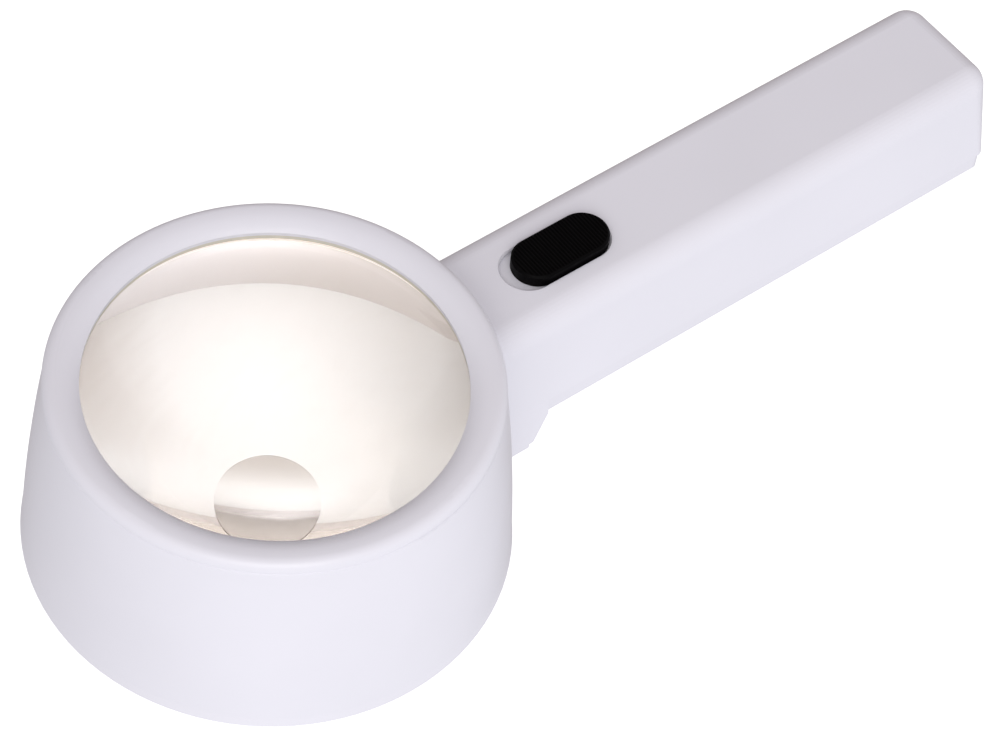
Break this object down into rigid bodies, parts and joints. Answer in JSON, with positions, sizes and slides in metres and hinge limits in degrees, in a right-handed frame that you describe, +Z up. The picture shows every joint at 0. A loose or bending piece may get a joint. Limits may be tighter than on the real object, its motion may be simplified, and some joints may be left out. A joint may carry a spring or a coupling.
{
  "type": "illuminated stand magnifier",
  "caption": "Stand magnifier: a round lens in a flared skirt that rests on the page, lit from the neck, with a straight battery handle and a slide switch.",
  "frame": {"origin": "on the lens axis, in the plane that the skirt stands on", "axes": "+Z up through the lens away from the page, +X along the handle away from the head, +Y completes a right-handed frame"},
  "size_m": [0.232, 0.1, 0.0476],
  "materials": {
    "shell": "satin",
    "bezel": "satin",
    "cover": "satin",
    "lens": "clear polished acrylic",
    "segment": "clear polished acrylic",
    "gasket": "matte",
    "window": "clear",
    "lamp": "clear lens over a pale die",
    "board": "solder mask",
    "chip": "matte",
    "steel": "zinc plated",
    "spring_steel": "nickel plated",
    "contact_brass": "plain",
    "phenolic": "matte",
    "black_plastic": "fine ribs",
    "tray_plastic": "matte",
    "cell_jacket": "satin wrap over a bright can",
    "wire_red": "insulation",
    "wire_black": "insulation"
  },
  "bodies": {
    "magnifier": {"upper_housing": "shell", "lens_bezel": "bezel", "main_lens": "lens", "reading_insert": "segment", "lens_gasket": "gasket", "led_window": "window", "led_board": "board", "led_left": "lamp", "led_right": "lamp", "led_resistor": "chip", "neck_plate": "cover", "neck_plate_screws": "steel", "switch_frame": "steel", "switch_base": "phenolic", "switch_terminals": "contact_brass", "switch_screws": "steel", "battery_tray": "tray_plastic", "tray_screws": "steel", "battery_1": "cell_jacket", "battery_2": "cell_jacket", "battery_3": "cell_jacket", "spring_1": "spring_steel", "spring_2": "spring_steel", "spring_3": "spring_steel", "front_link": "spring_steel", "centre_link": "spring_steel", "negative_contact": "spring_steel", "positive_contact": "spring_steel", "positive_lead": "wire_red", "switched_lead": "wire_red", "negative_lead": "wire_black"},
    "slider": {"switch_slider": "black_plastic", "switch_actuator": "black_plastic", "switch_wiper": "contact_brass"},
    "cover": {"battery_cover": "cover"}
  },
  "joints": [
    {"name": "slider_slide", "type": "slide", "parent": "magnifier", "child": "slider", "axis": [-1, 0, 0], "range_m": [0, 0.0025]},
    {"name": "cover_slide", "type": "slide", "parent": "magnifier", "child": "cover", "axis": [1, 0, 0], "range_m": [0, 0.116]}
  ]
}
